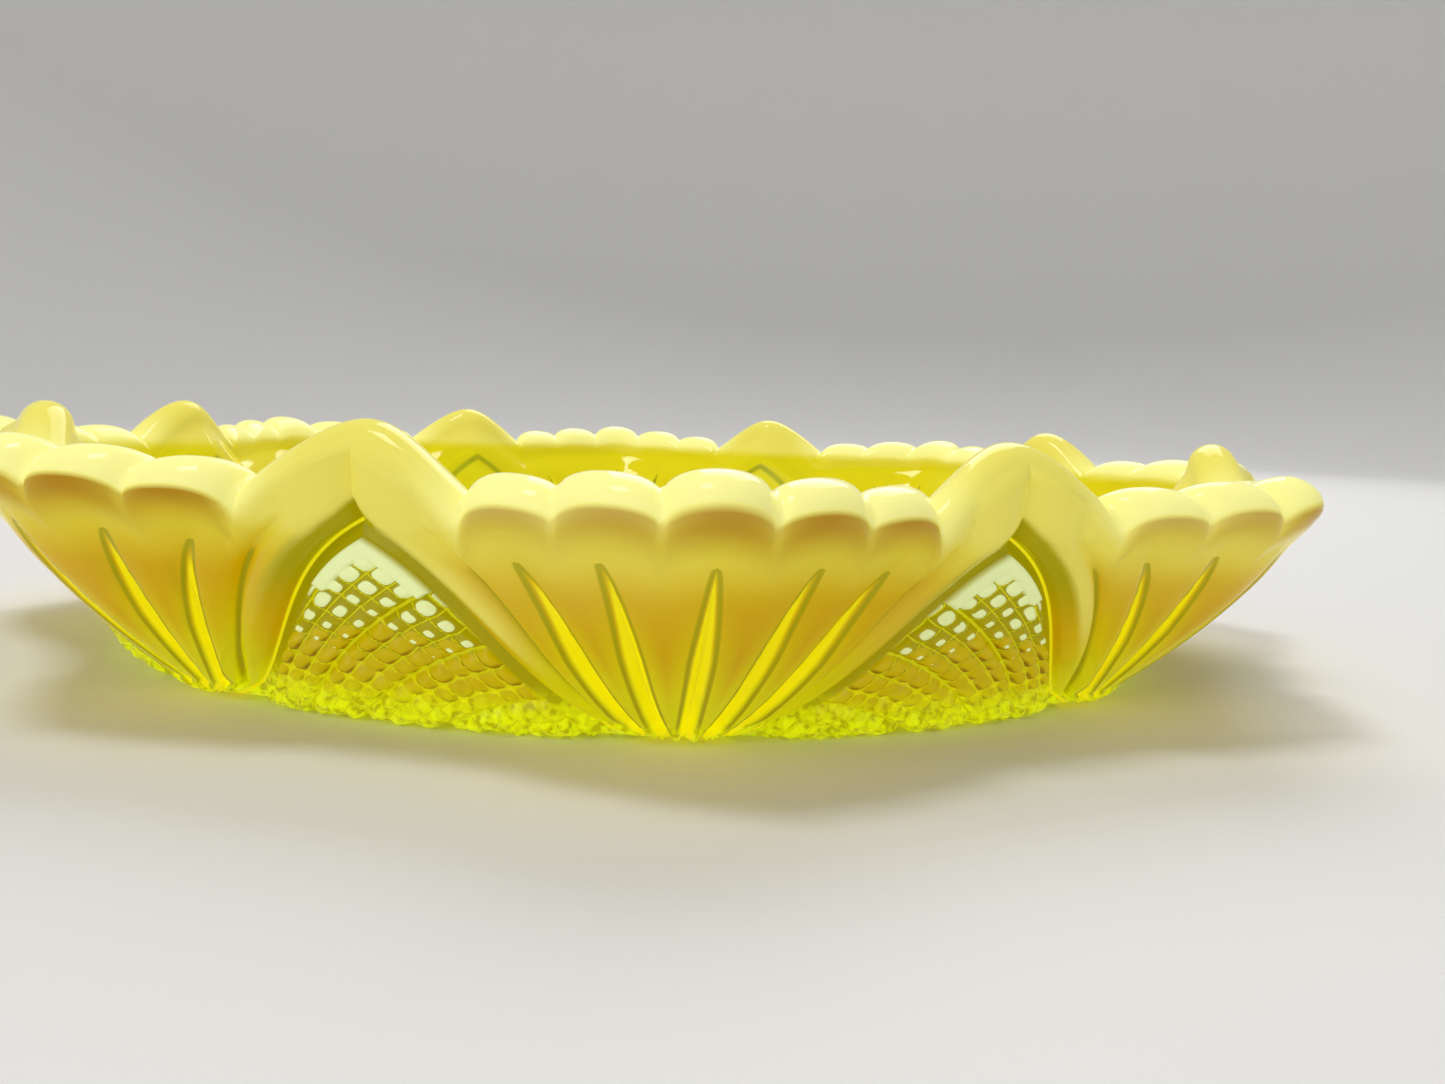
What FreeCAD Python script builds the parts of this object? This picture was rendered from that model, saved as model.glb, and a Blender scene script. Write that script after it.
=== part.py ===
"""Pressed opalescent glass dish, round and eight-fold.

Eight fans flare out from the foot to a scalloped rim. Between them stand eight pointed-arch
panels, and the rim rises over each panel in a tall peak. The whole dish is one pressing of
glass. It is modelled as one blank and then divided, by level planes, into the three zones in
which the glass has a different finish: the clear base, the pressed wall and the opal rim.

Frame: origin at the centre of the underside, +Z up, fans centred on the X and Y axes and on
their diagonals. Millimetres. Features are drawn once, for the fan on the +Y axis and the panel
clockwise of it, and repeated round the Z axis.
"""
import FreeCAD, Part
import math
import os

import Sketcher
from FreeCAD import Placement, Rotation, Vector

# Alias, value and meaning of each driving dimension.
DIMENSIONS = [
    ("fan_count", 8, "fans round the dish, with a panel between each two"),
    # heights above the table
    ("floor_height", 6, "inside floor of the dish"),
    ("waist_height", 12.5, "middle section of a fan"),
    ("opal_height", 23.5, "where the glass turns opal"),
    ("valley_height", 27.5, "low points between the scallops"),
    ("peak_height", 33.5, "crest of a peak, the highest point"),
    # bowl, the round body that shows in the panels
    ("foot_radius", 70, "flat underside"),
    ("haunch_radius", 79, "where the underside turns up into the wall"),
    ("haunch_height", 4, "height of that turn"),
    ("panel_radius", 83.5, "outer face of a panel at the waist"),
    ("peak_radius", 88, "outer face of a peak"),
    ("wall", 7, "thickness of the glass, measured level"),
    # one fan, from its point at the foot to the rim; an edge is measured along the fan's axis
    ("tip_distance", 76, "point of a fan, from the dish's axis"),
    ("tip_side", 1, "half width of a fan at its point"),
    ("tip_edge", 75.5, "edge of a fan at its point"),
    ("waist_distance", 90.8, "middle of a fan at the waist"),
    ("waist_side", 16, "half width of a fan at the waist"),
    ("waist_edge", 82.4, "edge of a fan at the waist"),
    ("head_distance", 105, "middle of a fan carried up to the height of the peaks"),
    ("head_side", 43, "half width of a fan at that height"),
    ("head_edge", 76.5, "edge of a fan at that height"),
    ("core_distance", 50, "inner end of a fan's solid, inside the bowl"),
    # rim
    ("scallop_count", 5, "scallops on a fan"),
    ("scallop_pitch", 9.8, "width of a scallop"),
    ("scallop_round", 6, "radius of a scallop's top"),
    ("crest_side", 33.7, "half distance between two peaks"),
    ("crest_round", 4, "radius of a peak's top"),
    # flutes, cuts that fan out from the point of a fan
    ("flute_foot", 3.5, "height of a flute's lower end"),
    ("flute_foot_round", 0.6, "radius of a flute at its lower end"),
    ("flute_head", 20, "height of a flute's upper end"),
    ("flute_head_round", 1.8, "radius of a flute at its upper end"),
    # mitres, V cuts as made by a square bar turned on its edge
    ("mitre_side", 2.4, "side of the bar that cuts the panels"),
    ("mitre_length", 24.5, "length of a mitre across a panel"),
    ("mitre_tilt", 40, "slope of a mitre, degrees"),
    ("star_side", 2, "side of the bar that cuts the underside"),
    ("star_offset", 30, "distance of the underside's mitres from the dish's axis"),
    # cutters
    ("run_out", 12, "how far a cutter runs past the glass"),
]

# Places of the flutes across a fan, as a share of its half width.
FLUTE_SHARES = (-0.6, -0.3, 0, 0.3, 0.6)


def make_sheet():
    """Put the driving dimensions in a spreadsheet, one alias each."""
    sheet = document.addObject("Spreadsheet::Sheet", "sizes")
    for row, (alias, value, meaning) in enumerate(DIMENSIONS, start=1):
        sheet.set(f"A{row}", alias)
        sheet.set(f"B{row}", str(value))
        sheet.set(f"C{row}", meaning)
        sheet.setAlias(f"B{row}", alias)
    document.recompute()
    return sheet


def evaluate(expression):
    """Value of an expression over the sheet."""
    value = sizes.evalExpression(expression.replace("sizes.", ""))
    return float(getattr(value, "Value", value))


def origin_feature(role):
    """The origin plane or axis of the blank with this role."""
    return next(item for item in blank.Origin.OriginFeatures if item.Role == role)


def add_sketch(name, role, level="0"):
    """A sketch on one of the blank's origin planes, lifted off it to a level."""
    sketch = blank.newObject("Sketcher::SketchObject", name)
    sketch.AttachmentSupport = [(origin_feature(role), "")]
    sketch.MapMode = "FlatFace"
    sketch.setExpression(".AttachmentOffset.Base.z", level)
    return sketch


def constrain(sketch, expression, kind, *where):
    """Add a constraint whose value is an expression over the sheet."""
    index = sketch.addConstraint(Sketcher.Constraint(kind, *where, evaluate(expression)))
    sketch.setExpression(f"Constraints[{index}]", expression)


def pin(sketch, line, end, corner):
    """Hold one end of a line at a corner given by two expressions."""
    constrain(sketch, corner[0], "DistanceX", -1, 1, line, end)
    constrain(sketch, corner[1], "DistanceY", -1, 1, line, end)


def join(sketch, first, second):
    """Make the last point of one edge meet the first point of another."""
    sketch.addConstraint(Sketcher.Constraint("Coincident", *first, *second))


def draw_chain(sketch, corners, closed=True):
    """Straight lines through corners, each corner a pair of expressions."""
    points = [Vector(evaluate(across), evaluate(up), 0) for across, up in corners]
    ends = points[1:] + points[:1] if closed else points[1:]
    lines = [sketch.addGeometry(Part.LineSegment(start, end), False)
             for start, end in zip(points, ends)]
    for line, following in zip(lines, lines[1:]):
        join(sketch, (line, 2), (following, 1))
    if closed:
        join(sketch, (lines[-1], 2), (lines[0], 1))
    for line, corner in zip(lines, corners):
        pin(sketch, line, 1, corner)
    if not closed:
        pin(sketch, lines[-1], 2, corners[-1])
    return lines


def revolve(name, kind, outline):
    """Turn an outline all the way round the dish's axis."""
    feature = blank.newObject(kind, name)
    feature.Profile = (outline, [""])
    feature.ReferenceAxis = (origin_feature("Z_Axis"), [""])
    feature.Angle = 360


def repeat_round(name, originals):
    """Repeat features round the dish's axis, once for each fan."""
    pattern = blank.newObject("PartDesign::PolarPattern", name)
    pattern.Originals = originals
    pattern.Axis = (origin_feature("Z_Axis"), [""])
    pattern.Angle = 360
    pattern.setExpression("Occurrences", "sizes.fan_count")
    blank.Tip = pattern


def fan_loft(name, kind, tip_level, inset):
    """One fan's solid, lofted through three level sections that stand in by an inset."""
    levels = {"tip": tip_level, "waist": "sizes.waist_height", "head": "sizes.peak_height"}
    sections = []
    for place, level in levels.items():
        section = add_sketch(f"{name}_{place}", "XY_Plane", level)
        side = f"sizes.{place}_side"
        edge = f"sizes.{place}_edge - {inset}"
        draw_chain(section, [
            (f"-{side}", "sizes.core_distance"),
            (side, "sizes.core_distance"),
            (side, edge),
            ("0", f"sizes.{place}_distance - {inset}"),
            (f"-{side}", edge),
        ])
        sections.append(section)
    loft = blank.newObject(kind, name)
    loft.Profile = (sections[0], [""])
    loft.Sections = [(section, [""]) for section in sections[1:]]
    return loft


def make_outside():
    """The dish as a solid, before it is hollowed: a bowl with the fans on it."""
    outline = add_sketch("bowl_outline", "XZ_Plane")
    draw_chain(outline, [
        ("0", "0"),
        ("sizes.foot_radius", "0"),
        ("sizes.haunch_radius", "sizes.haunch_height"),
        ("sizes.panel_radius", "sizes.waist_height"),
        ("sizes.peak_radius", "sizes.peak_height"),
        ("0", "sizes.peak_height"),
    ])
    revolve("bowl", "PartDesign::Revolution", outline)
    repeat_round("fans", [fan_loft("fan", "PartDesign::AdditiveLoft", "0", "0")])


def make_inside():
    """Hollow the bowl and the fans, so that the wall follows the outside."""
    outline = add_sketch("hollow_outline", "XZ_Plane")
    draw_chain(outline, [
        ("0", "sizes.floor_height"),
        ("sizes.haunch_radius - sizes.wall", "sizes.floor_height"),
        ("sizes.panel_radius - sizes.wall", "sizes.waist_height"),
        ("sizes.peak_radius - sizes.wall", "sizes.peak_height"),
        ("0", "sizes.peak_height"),
    ])
    revolve("hollow", "PartDesign::Groove", outline)
    hollow = fan_loft("fan_hollow", "PartDesign::SubtractiveLoft", "sizes.floor_height", "sizes.wall")
    repeat_round("fan_hollows", [hollow])


def draw_scallops(sketch):
    """The round tops of a fan's scallops, from left to right. Returns the arcs."""
    count = round(evaluate("sizes.scallop_count"))
    pitch = evaluate("sizes.scallop_pitch")
    valley = evaluate("sizes.valley_height")
    radius = evaluate("sizes.scallop_round")
    drop = math.sqrt(radius ** 2 - (pitch / 2) ** 2)
    lean = math.atan2(drop, pitch / 2)
    arcs = []
    for index in range(count):
        middle = Vector((index - (count - 1) / 2) * pitch, valley - drop, 0)
        circle = Part.Circle(middle, Vector(0, 0, 1), radius)
        arc = sketch.addGeometry(Part.ArcOfCircle(circle, lean, math.pi - lean), False)
        constrain(sketch, "sizes.scallop_round", "Radius", arc)
        constrain(sketch, "sizes.scallop_pitch", "DistanceX", arc, 2, arc, 1)
        constrain(sketch, "sizes.valley_height", "DistanceY", -1, 1, arc, 1)
        if arcs:
            join(sketch, (arcs[-1], 1), (arc, 2))
        arcs.append(arc)
    pin(sketch, arcs[0], 2, ("-sizes.scallop_pitch * sizes.scallop_count / 2", "sizes.valley_height"))
    return arcs


def draw_flank(sketch, valley_end, hand):
    """The side of a peak: a straight flank, tangent to the round crest. Returns the crest's arc."""
    across = hand * evaluate("sizes.crest_side")
    radius = evaluate("sizes.crest_round")
    middle = Vector(across, evaluate("sizes.peak_height") - radius, 0)
    first_guess = math.radians(90 + hand * 45)
    start, end = sorted((math.pi / 2, first_guess))
    circle = Part.Circle(middle, Vector(0, 0, 1), radius)
    crest = sketch.addGeometry(Part.ArcOfCircle(circle, start, end), False)
    top, foot = (1, 2) if hand > 0 else (2, 1)
    foot_point = sketch.getPoint(crest, foot)
    flank = sketch.addGeometry(Part.LineSegment(sketch.getPoint(*valley_end), foot_point), False)
    join(sketch, valley_end, (flank, 1))
    sketch.addConstraint(Sketcher.Constraint("Tangent", flank, 2, crest, foot))
    constrain(sketch, "sizes.crest_round", "Radius", crest)
    side = "sizes.crest_side" if hand > 0 else "-sizes.crest_side"
    constrain(sketch, side, "DistanceX", -1, 1, crest, 3)
    return crest, top


def make_rim():
    """Cut the crown of the rim: a fan's scallops, and the flank of the peak at each side."""
    sketch = add_sketch("crown", "XZ_Plane")
    arcs = draw_scallops(sketch)
    left = draw_flank(sketch, (arcs[0], 2), -1)
    right = draw_flank(sketch, (arcs[-1], 1), 1)
    above = "sizes.peak_height + sizes.run_out"
    lines = draw_chain(sketch, [
        ("sizes.crest_side", "sizes.peak_height"),
        ("sizes.crest_side", above),
        ("-sizes.crest_side", above),
        ("-sizes.crest_side", "sizes.peak_height"),
    ], closed=False)
    for (crest, top), (line, end) in ((right, (lines[0], 1)), (left, (lines[-1], 2))):
        sketch.addConstraint(Sketcher.Constraint("Coincident", crest, top, line, end))
    cut = blank.newObject("PartDesign::Pocket", "crown_cut")
    cut.Profile = (sketch, [""])
    cut.setExpression("Length", "sizes.head_distance + sizes.run_out")
    repeat_round("crown_cuts", [cut])


def fan_face(share, height):
    """A point of a fan's outer face, at a share of its half width and a height.

    The loft's edges are parabolas through the three sections.
    """
    levels = (0, evaluate("sizes.waist_height"), evaluate("sizes.peak_height"))

    def at_height(*values):
        total = 0
        for level, value in zip(levels, values):
            others = [other for other in levels if other != level]
            total += value * math.prod((height - other) / (level - other) for other in others)
        return total

    side, middle, edge = (
        at_height(*(evaluate(f"sizes.{place}_{measure}") for place in ("tip", "waist", "head")))
        for measure in ("side", "distance", "edge"))
    return Vector(share * side, middle - abs(share) * (middle - edge), height)


def turn_to(index):
    """The turn about the dish's axis from the fan on the +Y axis to another."""
    return Rotation(Vector(0, 0, 1), index * 360 / evaluate("sizes.fan_count"))


def add_flute(name, share, turn):
    """A slim cone that lies in the face of a fan and widens upwards."""
    start = turn.multVec(fan_face(share, evaluate("sizes.flute_foot")))
    end = turn.multVec(fan_face(share, evaluate("sizes.flute_head")))
    cone = document.addObject("Part::Cone", name)
    cone.setExpression("Radius1", "sizes.flute_foot_round")
    cone.setExpression("Radius2", "sizes.flute_head_round")
    cone.Height = (end - start).Length
    cone.Placement = Placement(start, Rotation(Vector(0, 0, 1), end - start))
    return cone


def add_mitre(name, side, length, middle, turn):
    """A square bar on its edge, centred on a point. It lies along X before the turn."""
    bar = document.addObject("Part::Box", name)
    bar.setExpression("Length", length)
    bar.setExpression("Width", side)
    bar.setExpression("Height", side)
    half = Vector(evaluate(length), evaluate(side), evaluate(side)) / 2
    on_edge = Rotation(Vector(1, 0, 0), 45)
    bar.Placement = Placement(middle, turn * on_edge) * Placement(-half, Rotation())
    return bar


def add_panel_mitres(index, turn):
    """The two mitres that cross in the middle of the panel beside a fan."""
    to_panel = turn * Rotation(Vector(0, 0, 1), -180 / evaluate("sizes.fan_count"))
    middle = Vector(0, evaluate("sizes.panel_radius"), evaluate("sizes.waist_height"))
    bars = []
    for name, sign in (("rising", 1), ("falling", -1)):
        tilt = Rotation(Vector(0, 1, 0), sign * evaluate("sizes.mitre_tilt"))
        bars.append(add_mitre(f"mitre_{name}_{index}", "sizes.mitre_side", "sizes.mitre_length",
                              to_panel.multVec(middle), to_panel * tilt))
    return bars


def add_star_mitre(index, turn):
    """One line of the star in the underside. The flat middle of the star stays whole."""
    middle = Vector(0, evaluate("sizes.star_offset"), 0)
    return add_mitre(f"star_{index}", "sizes.star_side", "2 * sizes.haunch_radius",
                     turn.multVec(middle), turn)


def cut_pattern():
    """Cut the flutes, the panel mitres and the star into the blank."""
    cutters = []
    for index in range(round(evaluate("sizes.fan_count"))):
        turn = turn_to(index)
        for number, share in enumerate(FLUTE_SHARES, start=1):
            cutters.append(add_flute(f"flute_{index}_{number}", share, turn))
        cutters.extend(add_panel_mitres(index, turn))
        cutters.append(add_star_mitre(index, turn))
    pattern = document.addObject("Part::MultiFuse", "pattern")
    pattern.Shapes = cutters
    dish = document.addObject("Part::Cut", "dish")
    dish.Base = blank
    dish.Tool = pattern
    return dish


def add_zone(label, bottom, top):
    """The glass of the dish between two levels, as a sub-part of its own."""
    slab = document.addObject("Part::Cylinder", f"{label}_slab")
    slab.setExpression("Radius", "sizes.head_distance + sizes.run_out")
    slab.setExpression("Height", f"{top} - {bottom}")
    slab.setExpression(".Placement.Base.z", bottom)
    zone = document.addObject("Part::Common", label)
    zone.Label = label
    zone.Base = dish
    zone.Tool = slab
    return zone


def check(zones):
    """Stop if anything in the document failed, or a sub-part isn't a sound solid."""
    for item in document.Objects:
        if {"Invalid", "Error"} & set(item.State):
            raise RuntimeError(f"{item.Name} failed: {item.State}")
    for zone in zones:
        if zone.Shape.isNull() or not zone.Shape.isValid() or not zone.Shape.Solids:
            raise RuntimeError(f"{zone.Label} has no sound solid")


document = FreeCAD.newDocument("glass_dish")
sizes = make_sheet()
blank = document.addObject("PartDesign::Body", "blank")
for make in (make_outside, make_inside, make_rim):
    make()
    document.recompute()
    print(f"{make.__name__}: {blank.Shape.Volume / 1000:.1f} cm3")

dish = cut_pattern()
document.recompute()
print(f"pattern cut: {dish.Shape.Volume / 1000:.1f} cm3")

zones = [
    add_zone("clear_base", "0", "sizes.floor_height"),
    add_zone("pressed_wall", "sizes.floor_height", "sizes.opal_height"),
    add_zone("opal_rim", "sizes.opal_height", "sizes.peak_height"),
]
document.recompute()
check(zones)

os.makedirs("parts", exist_ok=True)
for zone in zones:
    zone.Shape.exportStep(f"parts/{zone.Label}.step")
    print(f"{zone.Label}: {len(zone.Shape.Solids)} solid, {zone.Shape.Volume / 1000:.1f} cm3")
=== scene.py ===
"""Looks of the pressed opalescent glass dish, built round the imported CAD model.

The dish is one closed mesh: a grid of columns round the axis and rows along the section, from
the middle of the underside, up the outer wall, over the rim and back down to the middle of the
floor. Every row and column is placed by formulas for one fan and one panel, folded eight times
round. Lengths are in millimetres and angles in degrees until the mesh is made.
"""

import math

import bpy
import numpy as np
from mathutils import Matrix, Vector


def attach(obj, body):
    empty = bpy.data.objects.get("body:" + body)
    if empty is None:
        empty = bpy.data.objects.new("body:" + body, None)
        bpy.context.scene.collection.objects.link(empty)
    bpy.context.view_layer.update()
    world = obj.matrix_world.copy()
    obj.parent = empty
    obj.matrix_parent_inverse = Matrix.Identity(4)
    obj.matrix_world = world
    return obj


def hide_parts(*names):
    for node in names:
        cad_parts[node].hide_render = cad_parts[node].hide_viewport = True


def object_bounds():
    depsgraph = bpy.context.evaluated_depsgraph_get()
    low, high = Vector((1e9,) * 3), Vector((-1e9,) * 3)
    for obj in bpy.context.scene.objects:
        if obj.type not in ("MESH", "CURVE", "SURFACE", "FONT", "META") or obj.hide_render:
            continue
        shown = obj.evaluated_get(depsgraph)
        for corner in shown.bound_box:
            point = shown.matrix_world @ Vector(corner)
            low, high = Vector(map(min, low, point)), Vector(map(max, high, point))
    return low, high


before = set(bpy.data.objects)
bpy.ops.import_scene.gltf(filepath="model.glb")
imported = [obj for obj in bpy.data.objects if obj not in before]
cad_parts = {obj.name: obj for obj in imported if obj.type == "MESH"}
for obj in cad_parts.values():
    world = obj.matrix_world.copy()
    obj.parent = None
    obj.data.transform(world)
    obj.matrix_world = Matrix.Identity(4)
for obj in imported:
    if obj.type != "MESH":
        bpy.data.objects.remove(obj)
cad_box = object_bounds()

MM = 0.001

# ---------------------------------------------------------------- driving dimensions
FANS = 8
HALF_TURN = 180 / FANS                          # from the middle of a fan to the middle of a panel
FAN_REACH = (cad_box[1].x - cad_box[0].x) / MM / 2
CREST = cad_box[1].z / MM                       # height of a peak
FLOOR = 6.0                                     # height of the inside floor
FOOT = 71.0                                     # radius of the flat underside
PANEL_FOOT = 75.0                               # radius of a panel at the table
PANEL_TOP = 88.4                                # radius of a panel carried up to a peak
PANEL_CURVE = 2.0                               # how strongly a panel curves under
TIP = 75.5                                      # radius of a fan's point
WAIST = 12.5                                    # height of a fan's middle section
WAIST_REACH = 91.2                              # radius of a fan there
LIP = 1.3                                       # how far a fan stands proud of a panel
ARCH_TOP = 23.6                                 # height of a panel's pointed arch
ARCH_POINT = 0.16                               # share of a fan's width won near the arch's point
EDGE_GROWTH = (0.45, 6)                         # powers by which the two shares of the width grow
LEAST_EDGE = 0.05                               # least half width that a place is divided by
ARCH_STEPS = 90                                 # runs that the arch's curve is measured by
LENGTH_STEPS = 200                              # runs that a panel's length is measured by
LEAST_LENGTH = 1e-9                             # least length that a normal is divided by
DEGREE = 1.55                                   # length of a degree at the wall

# how the wall crosses from a fan's ridge to a panel
RIM_FORM = (14, 26)                             # heights over which the low form turns to the rim's
RIDGE_BLUNT = 0.04                              # how round the ridge is low down
RIM_RIDGE_BLUNT = 0.08                          # how much rounder it is at the rim
FLANK_HOLLOW = 1.4                              # how hollow a fan's flank is low down
RIM_FLANK_BLUNT = 0.2                           # how round the flank's foot is at the rim
STEP_PLACES = (-2.6, 0, 2.2)                    # the step round an arch: distances from the arch,
STEP_LEVELS = (LIP, -0.7, 0.35)                 # how far the wall moves out there,
STEP_BLUR = 0.3                                 # and how round the step's corners are

# rim
SCALLOP_TURN = 5.85                             # degrees from scallop to scallop
SCALLOP_TOPS = (30.6, 29.9, 29.1)               # middle, next and outer
VALLEYS = (27.8, 27.6, 26.5)
SCALLOP_ROUND = 0.97                            # how near a scallop's outline comes to a full round
SCALLOP_SQUARE = 2.2                            # how square its shoulders are
PEAK_FOOT = 2.5 * SCALLOP_TURN
BEAD = 3.2                                      # radius of the rim's rounding
PEAK_BEAD = 3.3
PEAK_BLUNT = 0.5                                # how round a peak's top is
ROLL = 0.6                                      # radians that the rounding goes on below its middle
FILLET = 3.4                                    # height over which the wall flows out into it
SWELL = 0.9                                     # how far the scallops' rounding stands out
OPAL_EDGE = 24.7                                # height where the opal ends below a valley
INNER_OPAL = 26.2                               # and where it ends on the inside

# flutes: place as a share of a fan's half width, and height of the top
FLUTES = ((0.0, 21.6), (0.31, 21.4), (0.58, 20.7))
FLUTE_WIDTH = 1.05                              # half of it
FLUTE_SHARE = 0.13                              # most that this may be of the fan's half width
FLUTE_TAPER = 10                                # length over which a flute runs out to its top
FLUTE_POINT = 0.6                               # how blunt its top is
FLUTE_BOTTOM = 0.15                             # how round its bottom is
FLUTE_STEEP = 0.95                              # depth for each millimetre in from its edge
FLUTE_FAR = -3.0                                # value of the flute field away from all flutes
FLUTE_END = 0.4                                 # what is taken off that field above a flute's top

# crease between a fan's last two petals
CREASE = 0.79
CREASE_DEPTH = 0.7
CREASE_WIDTH = 0.7
CREASE_HEIGHTS = (27, 18)                       # heights over which it starts below the rim
CREASE_MARK = 0.12                              # how faint its line of painted shade is in the flute field,
CREASE_MARK_FALL = 0.6                          # how fast it fades to its sides there,
CREASE_MARK_END = 2                             # and how far it has faded at the upper height
CREASE_MARK_HEIGHTS = (19, 24)

# petals between the flutes: start and end as shares of a fan's half width, and height
PETALS = ((0.0, 0.31, 0.6), (0.31, 0.58, 0.7), (0.58, 0.79, 1.1), (0.79, 1.0, 1.5))
PETAL_STEEP = 0.25                              # most height for each millimetre of width
PETAL_ROUND = 0.8
PETAL_HEIGHTS = (26, 17)                        # heights over which a petal starts below the rim
PETAL_EDGE = (0, -0.8)                          # distances from the arch over which it starts

# lattice of a panel
LATTICE_FOOT = 12.8                             # height where the upper cell ends in a point
LATTICE_SLOPE = 0.70
LATTICE_SAG = 0.015
CELL = 8.6                                      # height of a diamond
SMALL_CELLS = 3                                 # small cells along a diamond
ACROSS_LINES = 0.8                              # distance square to the lines, for each of height
PILLOW = 0.85
PILLOW_SQUARE = 0.45                            # how square a pillow is, less is squarer
MITRE = 0.8
MITRE_WIDTH = 0.9                               # half of it
FIELD = (1.6, 2.1)                              # distances from the arch where the lattice starts
ARCH_BAND = (3.7, 3.1)                          # and where its outer pillows stop being joined

# underside: offset from the axis, half width and depth of each line of the star
STAR_LINES = ((30.0, 1.5, 1.2), (38.0, 0.6, 0.35), (46.0, 0.6, 0.35), (54.0, 1.0, 0.7))
STAR_ANGLES = (0, 45, -45, 90)                  # directions of the lines that reach one half fan
STAR_STOP = 2                                   # the star fades out over this at the foot's edge

# cloudiness: heights from the opal's edge, unless they are said to be from the table
EDGE_LOBE = 2.8                                 # how much higher the edge is on a scallop's middle
EDGE_PEAK = 1.2                                 # how much lower it is on a peak
EDGE_SOFT = 0.5                                 # how soft the edge is
PEAK_SOFT = 2.5                                 # how much softer it is on a peak
CRESCENT_TOP = 0.4                              # the painted shade in dark amber below a scallop's rounding: where it ends,
CRESCENT_LOW = (5.5, 1.5)                       # where it starts and is full below the edge,
CRESCENT_ROUND = 0.6                            # and how round its ends are
DRIFT_TURN = 100                                # start of the haze's slow change round the dish
LIT_SIDE_TURNS = (6, -10)                          # painted light: degrees from a fan's middle over which one side turns paler
STREAK_START = 0.76                             # the streak's place in a fan's half width,
STREAK_FULL = 0.5                               # the share of its own width where it is full,
STREAK_HEIGHTS = (6, 15)                        # and its heights from the table
STREAK_LEAST = 0.25                             # its strength on the side without painted light what the painted light on the paler side adds to it
STREAK_LIT_SIDE = 0.75                              # what the cloudier side adds to it
HAZE = 0.2                                      # each part: all over, off the lobes, round the dish
HAZE_HEIGHTS = (18, 23)                         # heights from the table over which it starts
LIT_SIDE_HAZE = 0.34                                # painted light: pale haze on one side of each fan
LIT_SIDE_HAZE_HEIGHTS = (12, 23)
OPAL_FROM_ARCH = (-1.9, -2.5)                   # distances from the arch over which opal starts
LEMON_BAND = (5, 2.5)                           # lemon, by distance below the crown,
LEMON_TURN = (5, -2)                            # and by degrees past the foot of a peak

# painted glow of the foot: heights where it starts and is full
FAN_GLOW = (4, 0.5)
PANEL_GLOW = (7, 2)
INNER_WALL = (64, 74)                           # radii where the inside wall starts and is full

# colours
YELLOW = (0.70, 0.71, 0.002)
INNER_YELLOW = (0.70, 0.64, 0.002)
BRIGHT_YELLOW = (1.0, 0.92, 0.003)
OCHRE = (0.58, 0.352, 0.001)
# painted shade below the scallops' rounding
AMBER_SHADE = (0.35, 0.165, 0.001)
# painted shade on the lower side of the lattice's domes
DOME_SHADE_BROWN = (0.24, 0.12, 0.001)
GOLD = (0.55, 0.42, 0.001)
OLIVE = (0.34, 0.31, 0.001)
GREEN_YELLOW = (0.74, 0.84, 0.003)
LIME = (0.88, 1.0, 0.004)
# painted shade lines of the relief seen through the glass
DEEP_GREEN_SHADE = (0.20, 0.26, 0.004)
MINT = (0.80, 0.90, 0.46)
CREAM = (0.77, 0.70, 0.13)
LEMON = (0.92, 0.90, 0.32)

# glass: scale and detail of its noises, and its finish with its painted glow
CLOUD = (38.0, 3.0)
GRAIN = (260.0, 2.0)
# noise of the painted glints on the foot
GLINT_NOISE = (950.0, 1.0)
CLEAR_TRANSMISSION = 0.25
OPAL_TRANSMISSION = 0.0
# painted glow: the glass gives off light in its own colour
EMISSION = 0.28
ROUGHNESS = (0.03, 0.09)
SPECULAR = 0.12
IOR = 1.5
BUMP_GRAIN = 0.15                               # grain's part in the bump, beside the cloud's 1
BUMP_STRENGTH = 0.25
BUMP_DEPTH = 0.0006

# masks of the glass: where each starts and is full, by distance from the arch, positive inside it
ON_FAN = (0.05, -0.15)
ON_PANEL = (-0.15, 0.05)
GROOVE_SHADE = (-2.9, -2.4)                           # painted shade on the step just outside the arch
GROOVE_SHADE_HEIGHTS = (12, 20)
RIDGE = (0.27, 0.10)                            # bright line on the arch
GHOST = (0.9, 0.2)                              # painted shade: the arch as it would show dark through the inside
GHOST_STRENGTH = 0.7
GHOST_FAN = (0, -0.5)                           # painted shade of the flutes shows on the inside from here on

# masks by the flute field, positive inside a flute, by height and by noise
BRINK_SHADE_OUT = 0.12                                # painted shade, a dark line along a flute's brink: how far out it is
BRINK_SHADE = (0.32, 0.1)                             # and distances from there to its sides
FLUTE_LIGHT = (0.12, 0.4)                       # painted light: a bright core in a flute
FLUTE_LIGHT_RANGE = (0.85, 1.0)                       # and its weakest and strongest, by the grain
FLUTE_GHOST = (0.0, 0.35)                       # painted shade of a flute as it would show through the inside
FLUTE_SIDE_LIGHT = (-2.6, -0.4)                     # painted light: yellow beside a flute, on the ochre petals
FLUTE_SIDE_LIGHT_HEIGHTS = (20, 6)
FLUTE_SIDE_LIGHT_STRENGTH = 0.7
BODY_LOW = (1, 12)                              # heights over which the ochre of a fan starts
BODY_HIGH = (17, 23)                            # and weakens again below the rim,
BODY_LEAST = 0.55                               # to this share
LOW_PANEL = (11, 3)                             # bright yellow at the foot of a panel
PATCHES = 0.16                                  # how much cloudier or clearer a fan is in patches
PATCH_HEIGHTS = (14, 22)
CLEAR_CUT = (-0.5, -0.2)                        # flutes are cut out of the haze
CLEAR_CUT_TOP = (23, 22)                        # as far up as this
CUT_OPAL = 0.25                                 # share of the haze that is left there
STAR_STRENGTH = 0.4                             # how dark the star's painted shade lines are on the floor
STAR_SOFT = 0.3                                 # width of a star line's dark middle
GLINT = (0.5, 0.6)                              # noise where a painted glint on the foot is bright
SHADOW_GLINT = (0.46, 0.36)                     # and where it is dark
SHADOW_STRENGTH = 0.65
TINT = 0.14                                     # how far patches of ochre tint all colours

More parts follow.
